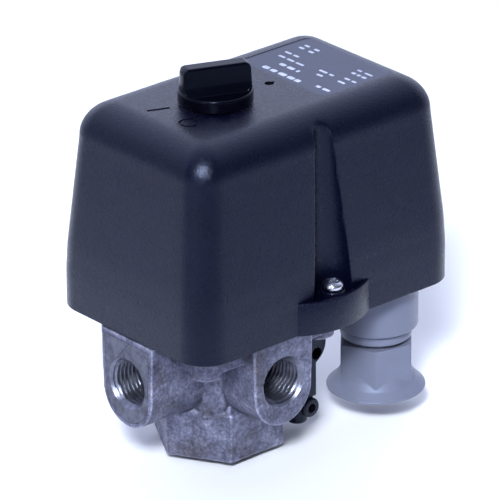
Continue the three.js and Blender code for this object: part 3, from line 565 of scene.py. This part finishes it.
def make_cover():
    tab = prism(tab_plan(TAB_Y, TAB_HALF, -COVER_Y + 1.4), COVER_Z, TAB_TOP)
    cut(tab, prism(tab_plan(TAB_Y - LIP, TAB_HALF - LIP, -COVER_Y + 3), TAB_FLOOR, TAB_TOP + 1))
    bevelled(tab, 0.28)
    pocket = prism(tab_plan(TAB_Y - 1.4, 8.5, -COVER_Y + 6), COVER_Z - 1, TAB_FLOOR - 1.8)
    screw_hole = moved(revolved([(0, COVER_Z), (1.9, COVER_Z), (1.9, TAB_TOP + 3),
                                 (0, TAB_TOP + 3)], 24), SCREW_X, -SCREW_Y)
    seat = SCREW_HIGH[2] - SCREW_HEAD - GAP
    boss = moved(revolved([(0, TAB_FLOOR - 0.5), (SEAT_R, TAB_FLOOR - 0.5), (SEAT_R, seat - 0.25),
                           (SEAT_R - 0.25, seat), (0, seat)], 40), SCREW_X, -SCREW_Y)
    shell = cover_body(0.0)
    hollow = join(cover_body(WALL), mirrored(pocket), pocket)
    join(shell, mirrored(tab), tab)
    cut(shell, hollow)
    join(shell, mirrored(boss), boss)
    cut(shell, mirrored(screw_hole), screw_hole)
    shaft_hole = revolved([(0, COVER_TOP - 6), (3.5, COVER_TOP - 6), (3.5, COVER_TOP + 1),
                           (0, COVER_TOP + 1)], 40)
    engraved = COVER_TOP - MARK_DEPTH
    ring_mark = turned(moved(tube([(2.05, engraved), (2.75, engraved), (2.75, COVER_TOP + 1),
                                   (2.05, COVER_TOP + 1)], 48), MARK_RADIUS), RING_ANGLE)
    key = revolved([(0, engraved - 0.8), (1.25, engraved - 0.8), (1.25, COVER_TOP + 1),
                    (0, COVER_TOP + 1)], 32)
    join(key, prism([(0.6, -0.8), (2.1, 0), (0.6, 0.8)], engraved - 0.8, COVER_TOP + 1))
    bar_mark = turned(moved(prism([(-3.1, -0.5), (3.1, -0.5), (3.1, 0.5), (-3.1, 0.5)],
                                  engraved, COVER_TOP + 1), MARK_RADIUS), BAR_ANGLE)
    label_floor = COVER_TOP - LABEL_DEPTH
    label = prism(rounded_rect(22.9, 47.6, -16.4, 17.0, 2.5), label_floor, COVER_TOP + 1)
    cut(shell, shaft_hole, ring_mark, moved(key, KEY_X, KEY_Y), bar_mark, label)
    place(shell, "cover_shell", "cover", COVER_BLACK, ["cover"])

    def on_label(c):
        flat = np.abs(c[:, 2] - label_floor) < 0.02
        return flat & (c[:, 0] > 22) & (c[:, 0] < 48)

    def in_bar_or_key(c):
        angle = math.radians(BAR_ANGLE)
        along = c[:, 0] * math.cos(angle) + c[:, 1] * math.sin(angle)
        across = -c[:, 0] * math.sin(angle) + c[:, 1] * math.cos(angle)
        low = c[:, 2] < COVER_TOP - 0.02
        top = c[:, 2] > COVER_TOP - 1.6
        bar = (np.abs(along - MARK_RADIUS) < 3.2) & (np.abs(across) < 0.6)
        keyhole = np.hypot(c[:, 0] - KEY_X - 0.2, c[:, 1] - KEY_Y) < 2.2
        return low & top & (bar | keyhole)

    repaint(shell, LABEL_BLACK, on_label)
    repaint(shell, INK_BLACK, in_bar_or_key)


def rounded_rect(x0, x1, y0, y1, r, n=8):
    points = []
    for cx, cy, start in ((x1 - r, y0 + r, -90), (x1 - r, y1 - r, 0),
                          (x0 + r, y1 - r, 90), (x0 + r, y0 + r, 180)):
        points += [(cx + r * math.cos(math.radians(start + 90 * i / n)),
                    cy + r * math.sin(math.radians(start + 90 * i / n))) for i in range(n + 1)]
    return points


# ---- Knob -----------------------------------------------------------------------------

def make_knob():
    z0 = COVER_TOP + GAP
    rim = z0 + 3.6
    disc = revolved([(0, z0), (9.55, z0), (KNOB_R, z0 + 0.35), (KNOB_R, rim - 0.5),
                     (9.75, rim - 0.1), (9.4, rim), (9.0, rim - 0.25), (8.5, rim - 0.9),
                     (0, rim - 0.9)], 96)
    top = KNOB_HIGH[2]
    rings = []
    for z, thick in ((z0 + 1, 6.4), (rim - 0.6, 6.0), (rim + 0.5, 5.1), (rim + 1.6, 4.6),
                     (rim + 3.0, 4.3), (top - 0.5, 4.1), (top, 3.5)):
        half = 9.75 if z < top - 0.2 else 9.3
        rings.append(flat_ring(rounded_rect(-half, half, -thick / 2, thick / 2, 1.2, 5), z))
    grip = loft(rings)
    barrel = revolved([(0, z0), (9.8, z0), (9.6, rim), (9.35, top - 1.6), (8.9, top - 0.5),
                       (8.0, top), (0, top)], 96)
    combine(grip, "INTERSECT", barrel)
    join(disc, turned(grip, KNOB_ANGLE))
    softened(disc, 0.13, 7)
    shaft = revolved([(0, 87.5), (3.2, 87.5), (3.2, z0 + 0.5), (0, z0 + 0.5)], 40)
    cam = prism([(-3.2, -3.2), (10.2, -2.2), (10.2, 2.2), (-3.2, 3.2)], 84.6, 88.1)
    pin = moved(revolved([(0, KNOB_LOW[2]), (1.1, KNOB_LOW[2]), (1.5, KNOB_LOW[2] + 0.4),
                          (1.5, 85), (0, 85)], 32), 8)
    join(cam, pin)
    join(disc, shaft, turned(cam, CRANK_ANGLE))
    place(disc, "knob", "knob", KNOB_BLACK, ["rotary_knob"], 40)


# ---- Label print ----------------------------------------------------------------------

def make_print():
    """Plain white marks on the label: rows of short bars."""
    z0, z1 = COVER_TOP - LABEL_DEPTH - 0.02, COVER_TOP - LABEL_DEPTH + 0.03

    def bar(x, y, length, width):
        return prism(rounded_rect(x - width / 2, x + width / 2, y - length / 2, y + length / 2,
                                  width * 0.3, 3), z0, z1)

    rows = [(25.2, [(-3.6, 2.0), (-0.9, 2.4), (2.4, 2.8), (5.8, 2.2), (8.8, 2.4)], 1.5),
            (29.6, [(1.2, 1.0), (4.0, 2.6), (7.2, 2.2)], 1.3),
            (33.2, [(4.6, 3.0), (8.2, 2.6), (11.6, 2.4)], 0.8),
            (36.2, [(9.4, 2.0), (12.4, 2.4)], 0.8),
            (32.0, [(-4.6, 2.2)], 0.8),
            (34.4, [(-3.4, 3.0), (-6.6, 1.6)], 0.8),
            (33.0, [(-12.0, 2.6)], 0.8),
            (35.6, [(-11.4, 2.0), (-14.0, 1.6)], 0.8),
            (39.5, [(-13.6, 1.6), (-11.6, 1.2), (-9.6, 1.4)], 1.0),
            (41.8, [(-12.9, 2.8), (-9.4, 1.6)], 0.7),
            (41.0, [(8.8, 1.8), (12.6, 1.8)], 0.9),
            (43.0, [(8.8, 1.8), (12.6, 1.8)], 0.9),
            (26.6, [(-13.2, 2.6), (-10.2, 1.6)], 1.1)]
    pieces = []
    for x, bars, width in rows:
        for y, length in bars:
            pieces.append(bar(x, y, length, width))
    first = pieces[0]
    join(first, *pieces[1:])
    place(first, "label_print", "cover", PRINT_WHITE)


# ---- Screws ---------------------------------------------------------------------------

def threaded(r_low, r_high, pitch, z0, z1, n=32):
    """A rod along Z with a helical ridge."""
    rows = max(4, int((z1 - z0) / pitch * 8))
    rings = []
    for k in range(rows + 1):
        z = z0 + (z1 - z0) * k / rows
        ring = []
        for i in range(n):
            phase = (z / pitch - i / n) % 1.0
            height = min(1.0, max(0.0, (abs(2 * phase - 1) - 0.15) / 0.7))
            r = r_low + (r_high - r_low) * height
            a = 2 * math.pi * i / n
            ring.append((r * math.cos(a), r * math.sin(a)))
        rings.append(flat_ring(ring, z))
    return loft(rings)


def make_cover_screw(name, sign):
    seat, top = SCREW_HIGH[2] - SCREW_HEAD, SCREW_HIGH[2]
    head = revolved([(0, seat), (2.55, seat), (2.78, seat + 0.25), (2.8, seat + 0.9),
                     (2.55, seat + 1.5), (2.0, seat + 2.0), (1.2, top - 0.08), (0, top)], 48)
    cross = block(-1.55, 1.55, -0.32, 0.32, seat + 0.9, top + 1)
    join(cross, block(-0.32, 0.32, -1.55, 1.55, seat + 0.9, top + 1),
         revolved([(0, seat + 0.7), (0.3, seat + 0.7), (0.85, top + 0.5), (0, top + 0.5)], 16))
    cut(head, turned(cross, 22))
    softened(head, 0.075, 4)
    join(head, threaded(1.2, 1.5, 0.7, SCREW_LOW[2], seat + 0.5))
    moved(head, SCREW_X, sign * SCREW_Y)
    node = "cover_screw_front" if sign < 0 else "cover_screw_rear"
    place(head, name, "cover", ZINC, [node], 40)


# ---- Port block -----------------------------------------------------------------------

def arm_solid(reach):
    r = ARM_W / 2
    top = r + 0.45
    section = [(r * math.cos(a), ARM_CZ + r * math.sin(a))
               for a in np.linspace(math.pi, 2 * math.pi, 33)]
    section += [(top, FLANGE_TOP), (-top, FLANGE_TOP)]
    rings = [np.array([(x, -y, z) for y, z in section]) for x in (0.0, reach)]
    return loft(rings)


def port_cutter(reach, minor, major, pitch, depth, chamfer, n=72):
    """A threaded hole along +Z whose mouth is at z = reach, ending in a drill cone."""
    rows = int(depth / pitch * 9)
    rings = [flat_ring(circle(2.4, n), reach - depth - 10),
             flat_ring(circle(2.4, n), reach - depth - 3.5),
             flat_ring(circle(minor, n), reach - depth - 1.6)]
    for k in range(rows + 1):
        z = reach - depth + depth * k / rows
        ring = []
        for i in range(n):
            phase = (z / pitch - i / n) % 1.0
            height = min(1.0, max(0.0, (abs(2 * phase - 1) - 0.12) / 0.72))
            r = max(minor + (major - minor) * height, chamfer - (reach - z) * 0.9)
            a = 2 * math.pi * i / n
            ring.append((r * math.cos(a), r * math.sin(a)))
        rings.append(flat_ring(ring, z))
    rings.append(flat_ring(circle(chamfer + 0.02, n), reach + 2))
    return loft(rings)


def make_flange():
    hexagon = circle(HEX_R, 6)
    body = prism(hexagon, 0, HEX_TOP)
    shoulder = loft([flat_ring(hexagon, HEX_TOP - 0.05), flat_ring(circle(16.6, 6), HEX_TOP + 1.4),
                     flat_ring(circle(14.2, 6), CORE_Z + 0.4)])
    core = prism([(13.3, 9.8), (9.8, 13.3), (-9.8, 13.3), (-13.3, 9.8), (-13.3, -9.8),
                  (-9.8, -13.3), (9.8, -13.3), (13.3, -9.8)], HEX_TOP - 1, FLANGE_TOP)
    plate = prism(rounded_rect(-23.6, 23.6, -22, 22, 4.2), 31.2, FLANGE_TOP)
    join(body, shoulder, core, plate)
    arms = ((ARM_X, 180), (ARM_Y, 270), (ARM_Y, 90))
    for reach, angle in arms:
        join(body, turned(arm_solid(reach), angle))
    for sx in (-1, 1):
        for sy in (-1, 1):
            join(body, moved(prism(circle(4.2, 40), 29.7, FLANGE_TOP), sx * BOLT_X, sy * BOLT_Y))
    softened(body, 0.30, 6)
    mark_bends(body)
    trim = block(-ARM_X, 24, -ARM_Y, ARM_Y, 0, FLANGE_TOP)
    combine(body, "INTERSECT", trim)
    for reach, angle in arms:
        hole = turned(port_cutter(reach, PORT_MINOR, PORT_MAJOR, PORT_PITCH, PORT_DEPTH,
                                  PORT_CHAMFER), 90, "Y")
        cut(body, turned(moved(hole, 0, 0, PORT_Z), angle))
    inlet = turned(port_cutter(0, INLET_MINOR, INLET_MAJOR, INLET_PITCH, INLET_DEPTH,
                               INLET_MAJOR + 0.5), 180, "X")
    cut(body, inlet)
    cut(body, revolved([(0, 20), (2.4, 20), (2.4, 31), (11, 34), (11, FLANGE_TOP - 1.4),
                        (15.2, FLANGE_TOP - 1.4), (15.2, FLANGE_TOP + 2), (0, FLANGE_TOP + 2)], 64))
    place(body, "port_block", "base", CAST, ["port_flange"], 38)

    # Faces inside the port and inlet holes; they take the bore metal, which is darkened as painted
    # shade.
    def in_bore_shade(c):
        side = np.hypot(c[:, 0], c[:, 2] - PORT_Z) < PORT_CHAMFER + 0.05
        side &= np.abs(c[:, 1]) > 12
        front = (np.hypot(c[:, 1], c[:, 2] - PORT_Z) < PORT_CHAMFER + 0.05) & (c[:, 0] < -14)
        below = (np.hypot(c[:, 0], c[:, 1]) < INLET_MAJOR + 0.6) & (c[:, 2] < 18)
        return side | front | below

    def chamfered(c):
        picks = np.zeros(len(c), dtype=bool)
        for reach, along, across in ((ARM_X, -c[:, 0], c[:, 1]), (ARM_Y, -c[:, 1], c[:, 0]),
                                     (ARM_Y, c[:, 1], c[:, 0])):
            depth = reach - along
            cone = PORT_CHAMFER - 0.9 * depth
            picks |= (depth < 1.5) & (np.abs(np.hypot(across, c[:, 2] - PORT_Z) - cone) < 0.12)
        return picks

    repaint(body, SHADED_BORE, in_bore_shade)
    repaint(body, CHAMFER, chamfered)


# ---- Cable gland ----------------------------------------------------------------------

def make_gland():
    low, top = GLAND_LOW[2], GLAND_HIGH[2]
    collar = tube([(GLAND_BORE, 21.0), (9.2, 21.0), (9.5, 21.15), (9.6, 21.5), (9.6, 23.7),
                   (9.45, 24.0), (9.6, 24.15), (10.7, 24.1), (11.12, 24.3), (11.3, 24.75),
                   (11.3, FLANGE_TOP), (7.4, FLANGE_TOP), (7.4, top), (GLAND_BORE, top)], 96)
    stub = threaded(7.55, 8.25, 1.5, low, 21.5, 72)
    cut(stub, revolved([(0, low - 1), (GLAND_BORE, low - 1), (GLAND_BORE, 26), (0, 26)], 72))
    join(collar, stub)
    place(moved(collar, GLAND_X, GLAND_Y), "gland_collar", "base", GLAND_GREY,
          ["gland_body"], 35)
    rim = NUT_LOW[2]
    nut_top = NUT_HIGH[2]
    nut = prism(circle(10.9, 6, -72.5), 9, nut_top)
    combine(nut, "INTERSECT", revolved([(0, 8.9), (12.5, 8.9), (12.5, nut_top - 1.0),
                                        (10.3, nut_top), (0, nut_top)], 96))
    skirt = revolved([(0, rim), (13.1, rim), (13.3, rim + 0.25), (13.3, rim + 0.65),
                      (12.9, rim + 1.0), (11.2, rim + 2.6), (9.9, rim + 4.4), (9.2, rim + 6.6),
                      (0, rim + 6.6)], 96)
    join(nut, skirt)
    cut(nut, revolved([(0, rim - 1), (11.9, rim - 1), (11.9, rim + 0.5), (GLAND_BORE + 0.4, 9.2),
                       (GLAND_BORE, 9.6), (GLAND_BORE, 10.4), (8.6, 10.4), (8.6, nut_top + 1),
                       (0, nut_top + 1)], 96))
    softened(nut, 0.15, 2)
    place(moved(nut, GLAND_X, GLAND_Y), "gland_cap_nut", "base", GLAND_GREY,
          ["gland_nut"], 50)


# ---- Unloader valve -------------------------------------------------------------------

def make_valve():
    lug_low, lug_high = 17.6, VALVE_HIGH[2]
    side = [(14.6, lug_low), (24.1, lug_low)]
    side += [(21.4 + 6.2 * math.cos(a), 23.2 + 6.2 * math.sin(a))
             for a in np.linspace(-math.pi / 3.1, 0, 17)]
    side += [(27.6, lug_high), (14.6, lug_high)]
    lug = loft([np.array([(x, y, z) for x, z in side]) for y in (4.4, VALVE_FRONT)])
    stem = block(17.2, 24.1, VALVE_FRONT, -4.6, 8, lug_low + 1)
    foot = VALVE_LOW[2]
    outlet = moved(revolved([(0, foot), (2.3, foot), (2.7, foot + 0.4), (2.8, foot + 1), (2.8, 9),
                             (0, 9)], 48), VALVE_X, VALVE_Y)
    nozzle = turned(revolved([(0, 0), (2.2, 0), (2.2, 3.1), (2.7, 3.4), (2.76, 3.7), (2.76, 4.6),
                              (2.5, 5.0), (2.1, 5.1), (0, 5.1)], 48), 90, "X")
    moved(nozzle, NOZZLE_X, VALVE_Y, NOZZLE_Z)
    join(lug, stem, outlet, nozzle)
    softened(lug, 0.14, 5)
    nozzle_bore = turned(revolved([(0, 1), (1.3, 1), (1.3, 6), (0, 6)], 32), 90, "X")
    recess = turned(revolved([(0, -3), (1.7, -3), (1.7, 6), (0, 6)], 32), 90, "X")
    bore = revolved([(0, 17), (2.1, 17), (2.1, 33), (0, 33)], 32)
    screw_hole = revolved([(0, 10), (1.4, 10), (1.4, 33), (0, 33)], 24)
    cut(lug, moved(nozzle_bore, NOZZLE_X, VALVE_Y, NOZZLE_Z),
        moved(recess, 24.2, VALVE_FRONT, 20.2),
        moved(bore, VALVE_X, VALVE_Y), moved(screw_hole, 21, 1.2))
    place(lug, "unloader_valve", "base", VALVE_BLACK, ["valve_body"], 40)


# ---- Springs --------------------------------------------------------------------------

def coil(x, y, r, wire, z0, z1, turns, sides=12, per_turn=28):
    """A compression spring with closed ends."""
    steps = int(turns * per_turn)
    rings = []
    for k in range(steps + 1):
        t = k / steps
        eased = t + math.sin(2 * math.pi * t) * -0.055
        a = 2 * math.pi * turns * t
        z = z0 + wire + (z1 - z0 - 2 * wire) * eased
        ring = []
        for i in range(sides):
            b = 2 * math.pi * i / sides
            out = r + wire * math.cos(b)
            ring.append((x + out * math.cos(a), y + out * math.sin(a), z + wire * math.sin(b)))
        rings.append(np.array(ring)[::-1])
    return loft(rings)


def make_springs():
    for node, body, turns, joint in (("main_spring", "base", 6.5, "rocker_swing"),
                                     ("valve_spring", "base", 6, "tappet_travel"),
                                     ("contact_spring_1", "contact_carrier", 4.5, None),
                                     ("contact_spring_2", "contact_carrier", 4.5, None)):
        low, high = node_box(node)
        wire = {"main_spring": 0.8, "valve_spring": 0.25}.get(node, 0.3)
        r = (high[0] - low[0]) / 2 - wire
        centre = ((low[0] + high[0]) / 2, (low[1] + high[1]) / 2)
        spring = coil(*centre, r, wire, low[2], high[2], turns)
        place(spring, node + "_wire", body, STEEL, [node], 60)
        if joint == "rocker_swing":
            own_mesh(spring)
        elif joint:
            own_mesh(spring)


# ---- Carried-over CAD nodes -----------------------------------------------------------

def dress(node, material, width=0.18):
    """A CAD node keeps its mesh and gets broken edges and its material."""
    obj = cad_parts[node]
    obj.data.materials.clear()
    obj.data.materials.append(material)
    for polygon in obj.data.polygons:
        polygon.use_smooth = True
    obj.data.set_sharp_from_angle(angle=math.radians(32))
    flat = obj.modifiers.new("flat", "DECIMATE")
    flat.decimate_type = "DISSOLVE"
    flat.angle_limit = math.radians(1)
    if width:
        bevel = obj.modifiers.new("edges", "BEVEL")
        bevel.width = width * MM
        bevel.segments = 2
        bevel.limit_method = "ANGLE"
        bevel.angle_limit = math.radians(35)
        bevel.harden_normals = True


def dress_nodes():
    finishes = {"base_plate": BASE_BLACK, "diaphragm": RUBBER, "frame_bracket": STEEL,
                "rocker_pin": ZINC, "pressure_plate": STEEL, "rocker": ZINC,
                "adjusting_screw": ZINC, "spring_plate": STEEL, "off_slide": BASE_BLACK,
                "contact_block": CREAM, "contact_carrier": BASE_BLACK, "earth_plate": ZINC,
                "earth_screw": ZINC, "gland_seal": RUBBER, "valve_screw": ZINC,
                "valve_tappet": STEEL, "contact_bridge_1": COPPER, "contact_bridge_2": COPPER}
    for number in range(1, 5):
        finishes[f"flange_screw_{number}"] = ZINC
        finishes[f"terminal_plate_{number}"] = BRASS
        finishes[f"terminal_screw_{number}"] = ZINC
    for node, material in finishes.items():
        dress(node, material)


# ---- Stage ----------------------------------------------------------------------------

def make_stage():
    floor = loft([flat_ring([(-4000, -4000), (4000, -4000), (4000, 4000), (-4000, 4000)], z)
                  for z in (-12.0, -2.0)])
    floor.name = "floor"
    floor.data.transform(Matrix.Scale(MM, 4))
    r = Recipe("floor_paint", Roughness=0.9)
    r.color(r.ramp(r.noise(400), [(0.3, (0.90, 0.90, 0.91)), (0.7, (0.93, 0.93, 0.94))]))
    floor.data.materials.append(r.material)
    world = bpy.data.worlds.new("studio")
    bpy.context.scene.world = world
    world.use_nodes = True
    nodes, links = world.node_tree.nodes, world.node_tree.links
    direction = nodes.new("ShaderNodeTexCoord").outputs["Generated"]
    dot = nodes.new("ShaderNodeVectorMath")
    dot.operation = "DOT_PRODUCT"
    dot.inputs[1].default_value = (0.50, 0.75, 0.42)
    links.new(direction, dot.inputs[0])
    ramp = nodes.new("ShaderNodeValToRGB")
    ramp.color_ramp.elements[0].position = 0.0
    ramp.color_ramp.elements[0].color = (0.14, 0.155, 0.20, 1)
    ramp.color_ramp.elements[1].position = 0.85
    ramp.color_ramp.elements[1].color = (1.40, 1.52, 2.00, 1)
    links.new(dot.outputs["Value"], ramp.inputs["Fac"])
    background = nodes["Background"]
    links.new(ramp.outputs["Color"], background.inputs["Color"])
    background.inputs["Strength"].default_value = 0.9
    lights = (("pool", (-0.684, -0.609, 0.80), (0.077, 0.076, 0.0), 0.50, 0.28, 0.80, 18),
              ("strip", (-1.22, -0.33, 0.30), (0.0, 0.0, 0.05), 0.16, 0.80, 0.7, 120))
    for name, place_at, target, width, height, power, spread in lights:
        light = bpy.data.lights.new(name, "AREA")
        light.shape = "RECTANGLE"
        light.size = width
        light.size_y = height
        light.energy = power
        light.spread = math.radians(spread)
        light.color = (0.84, 0.90, 1.0)
        lamp = bpy.data.objects.new(name, light)
        lamp.matrix_world = aimed(place_at, target)
        bpy.context.scene.collection.objects.link(lamp)
    bpy.context.scene.view_settings.view_transform = "Standard"


def aimed(position, target, roll=0.0):
    """A matrix at position whose -Z axis looks at the target."""
    back = np.array(position) - np.array(target)
    back /= np.linalg.norm(back)
    right = np.cross((0, 0, 1), back)
    right /= np.linalg.norm(right)
    up = np.cross(back, right)
    c, s = math.cos(roll), math.sin(roll)
    right, up = c * right + s * up, -s * right + c * up
    matrix = Matrix.Identity(4)
    for i in range(3):
        matrix[i][:] = right[i], up[i], back[i], position[i]
    return matrix


def make_camera():
    azimuth, elevation = math.radians(-40.98), math.radians(24.27)
    distance = 1.4785
    target = np.array((0.01151, 0.00005, 0.05013))
    back = np.array((math.sin(azimuth) * math.cos(elevation),
                     -math.cos(azimuth) * math.cos(elevation), math.sin(elevation)))
    data = bpy.data.cameras.new("camera")
    data.lens = 404.2
    data.sensor_width = 36.0
    data.clip_start = 0.05
    data.clip_end = 20.0
    camera = bpy.data.objects.new("camera", data)
    camera.matrix_world = aimed(target + back * distance, target, math.radians(-0.38))
    bpy.context.scene.collection.objects.link(camera)
    bpy.context.scene.camera = camera


make_camera()
make_stage()
make_cover()
make_knob()
make_print()
make_cover_screw("cover_screw_near", -1)
make_cover_screw("cover_screw_far", 1)
make_flange()
make_gland()
make_valve()
make_springs()
dress_nodes()
